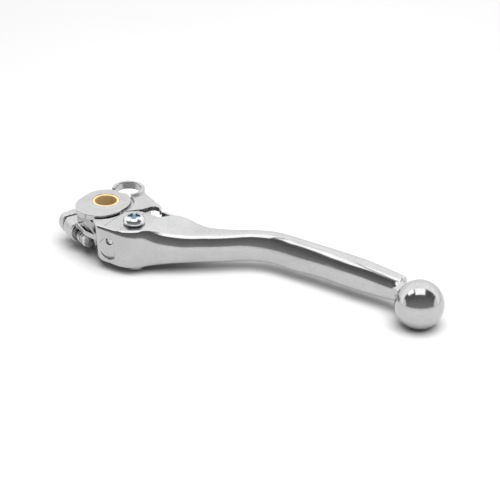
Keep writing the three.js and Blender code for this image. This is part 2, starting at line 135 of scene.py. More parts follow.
# The blade's body: near and far sides, underside and top along X, and how far the near top, near
# bottom and far top edges are rounded, across the blade and up it.
BLADE = [
    # x, near, far, low, high, near top y, near top z, near bottom y, near bottom z, far top y, far top z
    (1.0, -16.8, 1.4, 4.6, 17.5, 0.8, 0.8, 0.6, 0.6, 0.5, 0.5),
    (8.0, -16.8, 1.4, 4.4, 17.5, 1.2, 1.6, 0.6, 0.6, 0.5, 0.5),
    (10.5, -16.8, 1.4, 3.5, 17.5, 1.3, 1.7, 0.7, 0.7, 0.5, 0.5),
    (13.5, -16.8, 1.4, 3.4, 17.5, 1.5, 1.9, 0.8, 0.8, 0.5, 0.5),
    (17.0, -16.7, 1.4, 3.1, 17.5, 1.9, 2.4, 0.9, 0.9, 0.5, 0.5),
    (20.0, -15.95, 1.4, 2.9, 17.5, 2.6, 3.2, 1.1, 1.1, 0.5, 0.5),
    (23.0, -14.3, 1.6, 2.9, 17.4, 3.4, 4.2, 1.4, 1.5, 0.6, 0.6),
    (26.0, -11.5, 7.0, 3.2, 16.7, 4.0, 5.2, 1.8, 2.0, 1.0, 1.0),
    (30.0, -8.9, 9.8, 3.7, 15.6, 4.8, 5.1, 2.1, 2.6, 1.6, 1.8),
    (34.0, -6.3, 10.0, 4.0, 14.95, 5.3, 5.3, 2.4, 3.0, 2.0, 2.4),
    (38.0, -3.6, 10.2, 4.2, 14.6, 5.5, 5.5, 2.4, 3.2, 2.3, 2.8),
    (42.0, -0.5, 11.3, 4.2, 14.5, 5.5, 5.5, 2.4, 3.2, 2.3, 3.0),
    (46.0, 2.4, 13.3, 4.2, 14.4, 5.5, 5.5, 2.4, 3.2, 2.3, 3.0),
    (50.0, 5.5, 15.5, 4.2, 14.4, 5.5, 5.6, 2.4, 3.1, 2.3, 3.0),
    (54.0, 8.6, 17.8, 4.2, 14.5, 5.5, 6.0, 2.3, 2.8, 2.3, 3.0),
    (58.0, 11.0, 19.7, 4.2, 14.5, 5.5, 6.8, 2.2, 2.4, 2.3, 3.0),
    (62.0, 12.5, 20.9, 4.2, 14.6, 5.5, 7.8, 2.1, 2.0, 2.3, 3.0),
    (66.0, 13.1, 21.3, 4.2, 14.6, 5.4, 8.3, 2.0, 1.6, 2.3, 3.0),
    (72.0, 13.1, 21.3, 4.2, 14.6, 5.4, 8.5, 2.0, 1.4, 2.3, 3.0),
    (83.0, 13.1, 21.2, 4.2, 14.6, 5.4, 7.4, 2.2, 2.2, 2.3, 3.0),
    (92.0, 12.7, 21.0, 4.2, 14.6, 5.4, 6.4, 2.2, 2.3, 2.3, 3.0),
    (100.0, 12.4, 20.7, 4.2, 14.5, 5.4, 5.6, 2.2, 2.3, 2.3, 3.0),
    (108.0, 12.3, 20.3, 4.4, 13.9, 5.2, 5.4, 2.2, 2.4, 2.3, 3.0),
    (112.0, 12.3, 20.0, 4.6, 13.5, 5.0, 5.2, 2.0, 2.2, 2.2, 2.6),
    (116.0, 12.6, 19.6, 4.9, 13.1, 4.6, 5.0, 1.6, 1.8, 2.0, 2.4),
]


# ---------------------------------------------------------------- distances
# A shape is a function of points, rows of x, y and z, that says how far each one lies outside it.

def where(*sides, edge=0.0):
    """Inside all of the sides, with their shared edges rounded to a radius."""
    moved = [side + edge for side in sides]
    beyond = np.sqrt(sum(np.maximum(side, 0) ** 2 for side in moved))
    return beyond + np.minimum(np.maximum.reduce(moved), 0) - edge


def joined(*shapes, fillet=0.0):
    """Inside any of the shapes, with a fillet where they meet."""
    return -where(*[-shape for shape in shapes], edge=fillet)


def without(shape, *tools, edge=0.0):
    """The shape with the tools cut out of it, and the cut's edges rounded."""
    for tool in tools:
        shape = where(shape, -tool, edge=edge)
    return shape


def between(value, low, high):
    return np.abs(value - (low + high) / 2) - (high - low) / 2


def round_bar(points, centre, radius):
    return np.hypot(points[:, 0] - centre[0], points[:, 1] - centre[1]) - radius


def disc(points, centre, radius, low, high, edge=0.2):
    return where(round_bar(points, centre, radius), between(points[:, 2], low, high), edge=edge)


def stadium(points, radius):
    beside = points[:, 1] - np.clip(points[:, 1], BOSS_NEAR, 0)
    return np.hypot(points[:, 0] - BOSS_X, beside) - radius


def outline(points, corners):
    """Signed distance from a closed polygon in plan."""
    x, y = points[:, 0], points[:, 1]
    nearest = np.full(len(x), np.inf)
    inside = np.zeros(len(x), bool)
    for (ax, ay), (bx, by) in zip(corners, [*corners[1:], corners[0]]):
        ex, ey = bx - ax, by - ay
        share = np.clip(((x - ax) * ex + (y - ay) * ey) / (ex * ex + ey * ey), 0, 1)
        nearest = np.minimum(nearest, (x - ax - share * ex) ** 2 + (y - ay - share * ey) ** 2)
        if ay != by:
            crosses = (ay > y) != (by > y)
            inside ^= crosses & (x < ex * (y - ay) / ey + ax)
    return np.where(inside, -1, 1) * np.sqrt(nearest)


def plate(points, corners, low, high, edge=0.3):
    return where(outline(points, corners), between(points[:, 2], low, high), edge=edge)


def around_knuckle(radius, degrees):
    angle = math.radians(degrees)
    return KNUCKLE[0] + radius * math.cos(angle), KNUCKLE[1] + radius * math.sin(angle)


def lug_coordinates(points, drop=0.0):
    """How far along the lugs' axis, or one that far below it, across it and above it."""
    dx, dy = points[:, 0] - LUG_ORIGIN[0], points[:, 1] - LUG_ORIGIN[1]
    cos, sin = math.cos(LUG_ANGLE), math.sin(LUG_ANGLE)
    return dx * cos + dy * sin, dy * cos - dx * sin, points[:, 2] - LUG_ORIGIN[2] + drop


def beside_lug(along, across):
    cos, sin = math.cos(LUG_ANGLE), math.sin(LUG_ANGLE)
    return LUG_ORIGIN[0] + along * cos - across * sin, LUG_ORIGIN[1] + along * sin + across * cos


def lug_rod(points, span, radius, edge=0.0, drop=0.0):
    along, across, up = lug_coordinates(points, drop)
    return where(np.hypot(across, up) - radius, between(along, *span), edge=edge)


def adjuster_rod(points, span, radius, edge=0.0):
    return lug_rod(points, span, radius, edge, ADJUSTER_DROP)


# ---------------------------------------------------------------- from a distance to a mesh
BLOCK = 8                         # lattice points along one side of a block that is kept or skipped
KEPT = 1.6                        # how many half-diagonals from the surface a block is kept
CHUNK = 1500                      # blocks worked out at a time
PROBE = 0.02                      # step for slopes, in millimetres


def lattice_values(shape, low, cell, blocks):
    """The shape's value at every lattice point, exact only in the blocks near its surface."""
    corner = np.stack(np.meshgrid(*[np.arange(n) for n in blocks], indexing="ij"), -1).reshape(-1, 3)
    middle = low + (corner * BLOCK + (BLOCK - 1) / 2) * cell
    coarse = np.concatenate([shape(part) for part in np.array_split(middle, len(middle) // 200000 + 1)])
    values = np.repeat(coarse.astype(np.float32), BLOCK ** 3).reshape(-1, BLOCK ** 3)
    near = np.nonzero(np.abs(coarse) < KEPT * BLOCK * cell * math.sqrt(3) / 2)[0]
    step = np.stack(np.meshgrid(*[np.arange(BLOCK)] * 3, indexing="ij"), -1).reshape(-1, 3) * cell
    for some in np.array_split(near, len(near) // CHUNK + 1):
        points = (low + corner[some] * BLOCK * cell)[:, None, :] + step[None]
        values[some] = shape(points.reshape(-1, 3)).reshape(len(some), -1)
    values = values.reshape(*blocks, BLOCK, BLOCK, BLOCK)
    return values.transpose(0, 3, 1, 4, 2, 5).reshape(*[n * BLOCK for n in blocks])


def slope(shape, points):
    parts = []
    for axis in np.eye(3):
        parts.append(shape(points + axis * PROBE) - shape(points - axis * PROBE))
    return np.stack(parts, -1) / (2 * PROBE)


def quads_of(shape, low, high, cell):
    """Surface nets: one point in each cell that the surface crosses, then moved onto the surface."""
    low = np.array(low, float) - 2 * cell
    blocks = np.ceil((np.array(high, float) + 2 * cell - low) / cell / BLOCK).astype(int)
    values = lattice_values(shape, low, cell, blocks)
    inside = values < 0
    strides = [values.shape[1] * values.shape[2], values.shape[2], 1]
    owners, crossings = [], []
    for axis in range(3):
        first = [slice(None)] * 3
        second = [slice(None)] * 3
        first[axis], second[axis] = slice(0, -1), slice(1, None)
        for k in (1, 2):
            first[(axis + k) % 3] = second[(axis + k) % 3] = slice(1, None)
        changes = inside[tuple(first)] != inside[tuple(second)]
        index = np.stack(np.nonzero(changes), -1)
        index[:, (axis + 1) % 3] += 1
        index[:, (axis + 2) % 3] += 1
        start = index @ strides
        a, b = values.ravel()[start], values.ravel()[start + strides[axis]]
        place = index.astype(float)
        place[:, axis] += a / (a - b)
        left, below = strides[(axis + 1) % 3], strides[(axis + 2) % 3]
        around = start[:, None] + np.array([0, -left, -left - below, -below])
        around[a > 0] = around[a > 0][:, ::-1]
        owners.append(around)
        crossings.append(place)
    owners, crossings = np.concatenate(owners), np.concatenate(crossings)
    _, corner = np.unique(owners.ravel(), return_inverse=True)
    count = np.bincount(corner)
    spread = np.repeat(crossings, 4, axis=0)
    points = np.stack([np.bincount(corner, spread[:, k]) / count for k in range(3)], -1)
    points = low + points * cell
    for _ in range(3):
        normal = slope(shape, points)
        length = np.maximum((normal ** 2).sum(1), 0.05)
        move = (-shape(points) / length)[:, None] * normal
        reach = np.maximum(np.linalg.norm(move, axis=1) / (cell * 0.5), 1)
        points = points + move / reach[:, None]
    normal = slope(shape, points)
    normal /= np.maximum(np.linalg.norm(normal, axis=1), 1e-6)[:, None]
    return points, corner.reshape(-1, 4), normal


def mesh_object(name, points, faces, normals=None):
    """A new object from points in millimetres."""
    mesh = bpy.data.meshes.new(name)
    faces = np.asarray(faces)
    size = faces.shape[1]
    mesh.vertices.add(len(points))
    mesh.vertices.foreach_set("co", (np.asarray(points) * MM).astype(np.float32).ravel())
    mesh.loops.add(faces.size)
    mesh.loops.foreach_set("vertex_index", faces.astype(np.int32).ravel())
    mesh.polygons.add(len(faces))
    mesh.polygons.foreach_set("loop_start", np.arange(0, faces.size, size, dtype=np.int32))
    mesh.update(calc_edges=True)
    mesh.validate()
    mesh.shade_smooth()
    if normals is not None:
        mesh.normals_split_custom_set_from_vertices(normals.astype(np.float32))
    piece = bpy.data.objects.new(name, mesh)
    bpy.context.scene.collection.objects.link(piece)
    return piece


def cast(name, shape, low, high, cell):
    return mesh_object(name, *quads_of(shape, low, high, cell))


def turned(name, profile, centre, steps=96, edge=0.12):
    """A closed profile of (radius, height) pairs, with its corners cut back, turned about an upright axis."""
    rounded = []
    for i, here in enumerate(profile):
        before, after = np.array(profile[i - 1]), np.array(profile[(i + 1) % len(profile)])
        here = np.array(here, float)
        if here[0] == 0:
            rounded.append(here)
            continue
        ends = []
        for other in (before, after):
            span = other - here
            ends.append(here + span * min(edge / np.linalg.norm(span), 0.45))
        for t in (0, 0.25, 0.5, 0.75, 1):
            rounded.append((1 - t) ** 2 * ends[0] + 2 * t * (1 - t) * here + t * t * ends[1])
    rounded = np.array(rounded)
    angles = np.linspace(0, 2 * math.pi, steps, endpoint=False)
    ring = np.stack([np.cos(angles), np.sin(angles)], -1)
    radius = np.maximum(rounded[:, 0], 0.0)
    points = np.concatenate([
        np.stack([centre[0] + r * ring[:, 0], centre[1] + r * ring[:, 1], np.full(steps, z)], -1)
        for r, z in zip(radius, rounded[:, 1])
    ])
    rows = len(rounded)
    faces = [
        (i * steps + j, i * steps + (j + 1) % steps,
         ((i + 1) % rows) * steps + (j + 1) % steps, ((i + 1) % rows) * steps + j)
        for i in range(rows) for j in range(steps)
    ]
    return tidy(mesh_object(name, points, faces))


def tidy(piece, angle=40):
    """Joins doubled points, makes the faces look outward and leaves sharp edges sharp."""
    shape = bmesh.new()
    shape.from_mesh(piece.data)
    bmesh.ops.remove_doubles(shape, verts=shape.verts, dist=1e-7)
    bmesh.ops.dissolve_degenerate(shape, edges=shape.edges, dist=1e-7)
    bmesh.ops.recalc_face_normals(shape, faces=shape.faces)
    shape.to_mesh(piece.data)
    shape.free()
    piece.data.set_sharp_from_angle(angle=math.radians(angle))
    return piece


def coil(name, place, radius, wire, height, turns, phase=0.0, closed=0.6, sides=14, per_turn=40):
    """A round wire wound about the local Z axis of a matrix, with closed end turns."""
    count = int(per_turn * turns)
    share = np.linspace(0, 1, count + 1)
    angle = phase + share * turns * 2 * math.pi
    settle = closed / turns / 2
    rise = np.clip((share - settle) / (1 - 2 * settle), 0, 1)
    rise = rise * (height - 2 * wire) + wire
    path = np.stack([radius * np.cos(angle), radius * np.sin(angle), rise], -1)
    ahead = np.gradient(path, axis=0)
    ahead /= np.linalg.norm(ahead, axis=1)[:, None]
    outward = np.stack([np.cos(angle), np.sin(angle), np.zeros_like(angle)], -1)
    across = np.cross(ahead, outward)
    around = np.linspace(0, 2 * math.pi, sides, endpoint=False)
    rings = (path[:, None] + wire * (np.cos(around)[None, :, None] * outward[:, None]
                                     + np.sin(around)[None, :, None] * across[:, None]))
    points = rings.reshape(-1, 3)
    points = np.concatenate([points, path[:1] - ahead[:1] * wire * 0.4, path[-1:] + ahead[-1:] * wire * 0.4])
    points = points @ np.array(place.to_3x3()).T + np.array(place.translation)
    faces = []
    for i in range(count):
        for j in range(sides):
            a, b = i * sides + j, i * sides + (j + 1) % sides
            faces.append((a, b, b + sides, a + sides))
    first, last = len(points) - 2, len(points) - 1
    for j in range(sides):
        k = (j + 1) % sides
        faces.append((first, k, j, j))
        faces.append((last, count * sides + j, count * sides + k, count * sides + k))
    return tidy(mesh_object(name, points, faces), angle=60)


# ---------------------------------------------------------------- the blade
def station_curves():
    """The blade's stations as smooth curves, sampled finely."""
    table = np.array(BLADE)
    x = table[:, 0]
    slopes = np.gradient(table[:, 1:], x, axis=0)
    fine = np.arange(x[0], x[-1], 0.1)
    index = np.clip(np.searchsorted(x, fine, side="right") - 1, 0, len(x) - 2)
    width = (x[index + 1] - x[index])[:, None]
    t = ((fine - x[index])[:, None]) / width
    a, b = table[index, 1:], table[index + 1, 1:]
    curve = (a * (1 - 3 * t ** 2 + 2 * t ** 3) + b * (3 * t ** 2 - 2 * t ** 3)
             + width * slopes[index] * t * (1 - t) ** 2 - width * slopes[index + 1] * t ** 2 * (1 - t))
    return fine, curve


FINE_X, FINE_CURVE = station_curves()


def rounded_corner(beside, above, across, up):
    """An elliptical edge, from the distances outside its two sides; far inside away from the edge."""
    u = np.maximum(beside + across, 0) / across
    v = np.maximum(above + up, 0) / up
    reach = np.maximum(np.hypot(u, v), 1e-6)
    distance = (reach - 1) * np.hypot(across * u, up * v) / reach
    return np.where((u > 0) & (v > 0), distance, -np.inf)


def blade_body(points):
    x, y, z = points.T
    near, far, low, high, top_y, top_z, bottom_y, bottom_z, far_y, far_z = (
        np.interp(x, FINE_X, FINE_CURVE[:, k]) for k in range(FINE_CURVE.shape[1]))
    before, beyond, under, over = near - y, y - far, low - z, z - high
    under_y = np.minimum(top_y, far - near - bottom_y)
    under_z = np.minimum(top_z, high - low - far_z)
    section = np.maximum.reduce([
        before, beyond, under, over,
        rounded_corner(before, over, top_y, np.minimum(top_z, high - low - bottom_z)),
        rounded_corner(before, under, bottom_y, bottom_z),
        rounded_corner(beyond, over, far_y, far_z),
        rounded_corner(beyond, under, under_y, under_z),
    ])
    return where(section, between(x, FINE_X[0], FINE_X[-1]), edge=0.35)


def ball_and_neck(points):
    ball = np.linalg.norm(points - np.array(BALL_CENTRE), axis=1) - BALL_RADIUS
    root = np.array(NECK_ROOT)
    axis = np.array(BALL_CENTRE) - root
    span = np.linalg.norm(axis)
    axis /= span
    along = (points - root) @ axis
    radial = np.linalg.norm(points - root - along[:, None] * axis, axis=1)
    neck = where(radial - NECK_RADIUS, between(along, 0, span), edge=0.5)
    return joined(ball, neck, fillet=0.5)


def stop_tab(points):
    corners = [(25, 3.2), (29, 4), (29.5, 8.2), (26.5, 9), (19, 9.1), (19, 8.2), (24.6, 7.6)]
    return plate(points, corners, TAB_UNDER, PLATE_UNDER - RUN)


def inner_lug(points):
    lug = where(lug_rod(points, FRONT_LUG, LUG_RADIUS, edge=0.5), points[:, 2] - LUG_FLAT, edge=0.4)
    bridge = [beside_lug(1.1, 1.0), beside_lug(6.0, 1.7), beside_lug(8.0, 1.0), beside_lug(19, 0.3),
              (8.5, -10.6), (-2.6, -6.1), beside_lug(1.1, 4)]
    ledge = [beside_lug(6.5, 2), beside_lug(6.5, -1.8), beside_lug(14, -1.8), beside_lug(19, 0),
             beside_lug(19, 3), beside_lug(7, 3)]
    shape = joined(lug, plate(points, bridge, BRIDGE_UNDER, BRIDGE_TOP), fillet=0.3)
    shape = joined(shape, plate(points, ledge, LEDGE_UNDER, LUG_FLAT), fillet=0.3)
    shape = without(shape, adjuster_rod(points, (7.4, 10.6), SPRING_POCKET), edge=0.15)
    return without(shape, disc(points, (0, 0), TUBE + 0.4, *THROUGH), edge=0.3)


def recess(points):
    """A pocket milled on a slant, so that it runs out at the left and ends in a step at the right."""
    x, y, z = points.T
    ring = np.hypot(x - RECESS_PLACE[0], z - RECESS_PLACE[1]) - RECESS_RADIUS
    floor = RECESS_FLOOR[0] + (x - RECESS_PLACE[0] + RECESS_RADIUS) * RECESS_FLOOR[1]
    pocket = where(ring, x - RECESS_EDGE, y - floor, edge=0.15)
    groove = where(ring, between(x, RECESS_EDGE - GROOVE_WIDTH, RECESS_EDGE), y + RECESS_GROOVE)
    return np.minimum(pocket, groove)


def blade(points):
    x, y, z = points.T
    inner_end = [(-30, -30), (END_X, -30), (END_X, -16.8), (1.8, -11.6), (1.8, 20), (-30, 20)]
    plate_room = [KNUCKLE, around_knuckle(30, 172), (-15, 30), (KNUCKLE[0], 30)]
    slot_mouth = [around_knuckle(SLOT_RADIUS, 75), around_knuckle(30, 110), (-15, 25), (-15, -11), (4, -11),
                  around_knuckle(SLOT_RADIUS, 225), KNUCKLE]
    body = blade_body(points)
    body = joined(body, ball_and_neck(points), fillet=0.4)
    leaning = points - np.stack([(HEAD_TOP - z) * END_SLOPE, 0 * z, 0 * z], -1)
    body = without(body, outline(leaning, inner_end), edge=0.6)
    body = without(body, stadium(points, BOSS + 0.8), edge=0.35)
    room = without(outline(points, plate_room), round_bar(points, KNUCKLE, EAR_RADIUS))
    body = without(body, room, edge=0.35)
    mouth = joined(outline(points, slot_mouth), round_bar(points, KNUCKLE, SLOT_RADIUS))
    body = without(body, where(mouth, between(z, *SLOT)), edge=0.25)
    body = joined(body, stop_tab(points), fillet=0.8)
    body = joined(body, inner_lug(points), fillet=0.4)
    bore = adjuster_rod(points, (0, 9), ADJUSTER_THREAD + 0.15)
    head_end = ADJUSTER_HEAD_SPAN[1] + ADJUSTER_TRAVEL + 0.4
    head_room = adjuster_rod(points, (9, head_end), ADJUSTER_HEAD + 0.35)
    anchor = np.hypot(x - ANCHOR_PLACE[0], z - ANCHOR_PLACE[2]) - ANCHOR_PIN - 0.1
    anchor = where(anchor, y + 12)
    body = without(body, where(round_bar(points, KNUCKLE, SPOT_FACE), z - HEAD_BOTTOM), edge=0.2)
    body = without(body, recess(points), edge=0.15)
    return without(body, bore, head_room, anchor, round_bar(points, KNUCKLE, SLEEVE + 0.06), edge=0.15)


# ---------------------------------------------------------------- the bracket
def bracket_plate(points):
    corners = [(6, -2.4), (9.6, -2.4), (13.2, 1.6), (14.6, 3.2), (15.3, 4.6), (15.7, 6.0), (17.0, 7.2),
               (18.6, 7.1), (19.6, 6.2), (20.3, 5.2), (20.7, 5.8), (19.7, 7.5), (18.3, 8.8), (15.2, 10.3),
               (7.6, 14.0), (2, 12), (-2, 9), (-4, 6)]
    shape = plate(points, corners, PLATE_UNDER, HEAD_TOP, edge=0.35)
    shape = joined(shape, disc(points, RING_CENTRE, RING_OUTER, RING_UNDER, BOSS_TOP, edge=0.5), fillet=0.3)
    shape = without(shape, round_bar(points, KNUCKLE, EAR_RADIUS + RUN), edge=0.3)
    groove = where(stadium(points, BOSS + 1.2), HEAD_TOP - 0.9 - points[:, 2])
    return without(shape, groove, edge=0.2)


def tongue(points):
    neck = [(2.3, 5.5), (-2.3, -5.5), around_knuckle(5.7, 247), around_knuckle(5.7, 67)]
    knuckle = disc(points, KNUCKLE, TONGUE_RADIUS, *TONGUE, edge=0.4)
    shape = joined(plate(points, neck, *TONGUE), knuckle, fillet=0.5)
    pocket = where(round_bar(points, KNUCKLE, TONGUE_RADIUS + RUN), COIL_FLOOR - points[:, 2],
                   -round_bar(points, KNUCKLE, HUB_RADIUS))
    return without(shape, pocket, edge=0.2)


def bracket(points):
    web = [(2, 6.5), (4.4, 7.4), (5.6, 9.4), (7.2, 12.0), (11.5, 10.2), (14.2, 8.4), (14.2, 5.0),
           (12.6, 2.6), (10.2, 0.6), (6, 0)]
    lug_link = [beside_lug(REAR_LUG[0], 0), beside_lug(REAR_LUG[1], 0), beside_lug(REAR_LUG[1], 5.3),
                beside_lug(2.5, 5.5), beside_lug(2.5, 12.5), beside_lug(-2.0, 11), beside_lug(REAR_LUG[0], 5)]
    z = points[:, 2]
    boss = where(stadium(points, BOSS), between(z, BOSS_UNDER, BOSS_TOP), edge=0.3)
    shape = joined(disc(points, (0, 0), TUBE, TUBE_BOTTOM, BOSS_TOP, edge=0.4), boss, fillet=0.6)
    shape = joined(shape, bracket_plate(points), fillet=0.25)
    shape = joined(shape, plate(points, web, TONGUE[0], PLATE_UNDER + 0.5, edge=0.4), fillet=0.6)
    shape = joined(shape, tongue(points), fillet=0.5)
    lug = where(lug_rod(points, REAR_LUG, LUG_RADIUS, edge=0.6), z - LUG_FLAT, edge=0.4)
    lug = joined(lug, plate(points, lug_link, LINK_UNDER, LUG_FLAT, edge=0.4), fillet=0.8)
    shape = joined(shape, lug, fillet=0.6)
    shape = without(shape, round_bar(points, RING_CENTRE, RING_INNER), edge=0.4)
    shape = without(shape, round_bar(points, (0, 0), PIVOT_BUSH + 0.02), edge=0.25)
    shape = without(shape, round_bar(points, KNUCKLE, SLEEVE + 1.03), edge=0.15)
    return without(shape, adjuster_rod(points, (-2.6, 5), PAD_RADIUS + 0.03), edge=0.2)


# ---------------------------------------------------------------- the screw
def knuckle_screw(points):
    x, y, z = points[:, 0] - KNUCKLE[0], points[:, 1] - KNUCKLE[1], points[:, 2]
    radial = np.hypot(x, y)
    crown = SCREW_SEAT + SCREW_HEAD_HEIGHT
    sphere_radius = (SCREW_HEAD ** 2 + SCREW_CROWN ** 2) / (2 * SCREW_CROWN)
    dome = np.sqrt(radial ** 2 + (z - crown + sphere_radius) ** 2) - sphere_radius
    head = where(radial - SCREW_HEAD, SCREW_SEAT - z, dome, edge=0.9)
    shank = where(radial - SCREW_SHANK, between(z, 6, crown - 1), edge=0.3)
    u = np.abs(x * math.cos(CROSS_TURN) + y * math.sin(CROSS_TURN))
    v = np.abs(y * math.cos(CROSS_TURN) - x * math.sin(CROSS_TURN))
    taper = (crown - z) * 0.3
    arms = [where(along - CROSS_LENGTH + taper, across - CROSS_WIDTH + taper * 0.2, edge=0.15)
            for along, across in ((u, v), (v, u))]
    pit = joined(np.minimum(*arms), radial - 1.4 + taper, fillet=0.2)
    cross = where(pit, crown - CROSS_DEPTH - z, edge=0.1)
    return joined(without(head, cross, edge=0.12), shank, fillet=0.1)


# ---------------------------------------------------------------- materials
PAINTED_HOLLOW_SHADE = 0.5                # how bright the painted shade in a metal's hollows is, as a share of its colour
SPECK_SHADE = 0.6


def new_material(name):
    material = bpy.data.materials.new(name)
    material.use_nodes = True
    nodes, links = material.node_tree.nodes, material.node_tree.links
    shader = nodes["Principled BSDF"]
    place = nodes.new("ShaderNodeTexCoord").outputs["Object"]
    return material, nodes, links, shader, place


def noise(nodes, links, place, size, detail=3.0, stretch=None):
    """Noise whose features are about that many millimetres across."""
    texture = nodes.new("ShaderNodeTexNoise")
    texture.inputs["Scale"].default_value = 1 / (size * MM)
    texture.inputs["Detail"].default_value = detail
    if stretch:
        mapping = nodes.new("ShaderNodeMapping")
        mapping.inputs["Scale"].default_value = stretch
        links.new(place, mapping.inputs["Vector"])
        place = mapping.outputs["Vector"]
    links.new(place, texture.inputs["Vector"])
    return texture.outputs["Fac"]


def ranged(nodes, links, value, low, high, from_low=0.3, from_high=0.7):
    node = nodes.new("ShaderNodeMapRange")
    node.inputs["From Min"].default_value = from_low
    node.inputs["From Max"].default_value = from_high
    node.inputs["To Min"].default_value = low
    node.inputs["To Max"].default_value = high
    links.new(value, node.inputs["Value"])
    return node.outputs["Result"]


def blended(nodes, links, share, first, second):
    node = nodes.new("ShaderNodeMix")
    node.data_type = "RGBA"
    for socket, value in (("A", first), ("B", second)):
        target = [s for s in node.inputs if s.name == socket and s.type == "RGBA"][0]
        if isinstance(value, tuple):
            target.default_value = (*value, 1)
        else:
            links.new(value, target)
    links.new(share, node.inputs[0])
    return [s for s in node.outputs if s.type == "RGBA"][0]


def bumped(nodes, links, shader, height, distance, strength=1.0, under=None):
    """A bump whose full height is that many millimetres."""
    bump = nodes.new("ShaderNodeBump")
    bump.inputs["Distance"].default_value = distance * MM
    bump.inputs["Strength"].default_value = strength
    links.new(height, bump.inputs["Height"])
    if under is not None:
        links.new(under, bump.inputs["Normal"])
    links.new(bump.outputs["Normal"], shader.inputs["Normal"])
    return bump.outputs["Normal"]


def metal(name, light, dark, edge, rough, grain, grain_height, cloud=6.0, scratch=0.0, metallic=1.0):
    """Metal: cloudy colour, rubbed edges, painted shade darkening its hollows, specks, uneven roughness,
    grain and hairlines.
    """
    material, nodes, links, shader, place = new_material(name)
    shader.inputs["Metallic"].default_value = metallic
    clouds = ranged(nodes, links, noise(nodes, links, place, cloud, 4.0), 0, 1)
    colour = blended(nodes, links, clouds, light, dark)
    rubbed = ranged(nodes, links, nodes.new("ShaderNodeNewGeometry").outputs["Pointiness"], 0, 1, 0.52, 0.6)
    colour = blended(nodes, links, rubbed, colour, edge)
    # painted shade: concave places, found by pointiness, take a darker copy of the dark colour
    painted_hollow_shade = ranged(nodes, links, nodes.new("ShaderNodeNewGeometry").outputs["Pointiness"], 1, 0, 0.37, 0.46)
    colour = blended(nodes, links, painted_hollow_shade, colour, tuple(value * PAINTED_HOLLOW_SHADE for value in dark))
    speck = ranged(nodes, links, noise(nodes, links, place, grain * 1.2, 2.0), 0, 0.4, 0.48, 0.75)
    colour = blended(nodes, links, speck, colour, tuple(value * SPECK_SHADE for value in dark))
    links.new(colour, shader.inputs["Base Color"])
    patches = noise(nodes, links, place, cloud / 4, 5.0)
    links.new(ranged(nodes, links, patches, *rough), shader.inputs["Roughness"])
    fine = noise(nodes, links, place, grain, 2.0)
    normal = bumped(nodes, links, shader, fine, grain_height)
    if scratch:
        hair = noise(nodes, links, place, 0.25, 2.0, stretch=(0.04, 1.0, 1.0))
        bumped(nodes, links, shader, hair, scratch, under=normal)
    return material


def zinc_plate(name):
    """Bright zinc with the faint blue cast of its passivation, and painted shade: dark teal in its hollows
    and in a disc about the head's cross.
    """
    material, nodes, links, shader, place = new_material(name)
    shader.inputs["Metallic"].default_value = 1.0
    clouds = ranged(nodes, links, noise(nodes, links, place, 2.0, 4.0), 0, 1)
    colour = blended(nodes, links, clouds, (0.70, 0.705, 0.72), (0.60, 0.61, 0.64))
    # painted shade: concave places, found by pointiness, turn dark teal, the passivation's blue darkened as
    # if shaded
    painted_hollow_shade = ranged(nodes, links, nodes.new("ShaderNodeNewGeometry").outputs["Pointiness"], 1, 0, 0.44, 0.495)
    colour = blended(nodes, links, painted_hollow_shade, colour, (0.06, 0.17, 0.23))
    # painted shade: a dark teal disc about the middle of the head's crown, where the cross recess lies
    beside = nodes.new("ShaderNodeVectorMath")
    beside.operation = "DISTANCE"
    crown = SCREW_SEAT + SCREW_HEAD_HEIGHT
    beside.inputs[1].default_value = (KNUCKLE[0] * MM, KNUCKLE[1] * MM, crown * MM)
    links.new(place, beside.inputs[0])
    cross = ranged(nodes, links, beside.outputs["Value"], 0.9, 0, 1.7 * MM, 2.4 * MM)
    colour = blended(nodes, links, cross, colour, (0.10, 0.20, 0.25))
    links.new(colour, shader.inputs["Base Color"])
    rough = ranged(nodes, links, noise(nodes, links, place, 0.8, 4.0), 0.10, 0.22)
    links.new(rough, shader.inputs["Roughness"])
    bumped(nodes, links, shader, noise(nodes, links, place, 0.5, 3.0), 0.006)
    return material


POLISHED = metal("polished_aluminium", (0.52, 0.52, 0.525), (0.48, 0.48, 0.485), (0.62, 0.62, 0.62),
                 (0.09, 0.16), 0.35, 0.0012, scratch=0.0006)
SATIN = metal("satin_aluminium", (0.52, 0.52, 0.525), (0.48, 0.48, 0.485), (0.64, 0.64, 0.64),
              (0.20, 0.32), 0.3, 0.003)
BRONZE = metal("bearing_bronze", (0.80, 0.62, 0.35), (0.70, 0.52, 0.27), (0.82, 0.72, 0.56),
               (0.34, 0.48), 0.25, 0.004, cloud=3.0, metallic=0.8)
STEEL = metal("spring_steel", (0.60, 0.60, 0.61), (0.50, 0.50, 0.51), (0.72, 0.72, 0.72),
              (0.22, 0.38), 0.3, 0.004, cloud=2.0)
ZINC = zinc_plate("zinc_plate")


# ---------------------------------------------------------------- pieces
BLADE_CELL, BRACKET_CELL = ((0.25, 0.2))


def place_piece(piece, body, node, material):
    piece.data.materials.append(material)
    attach(piece, body)
    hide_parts(node)


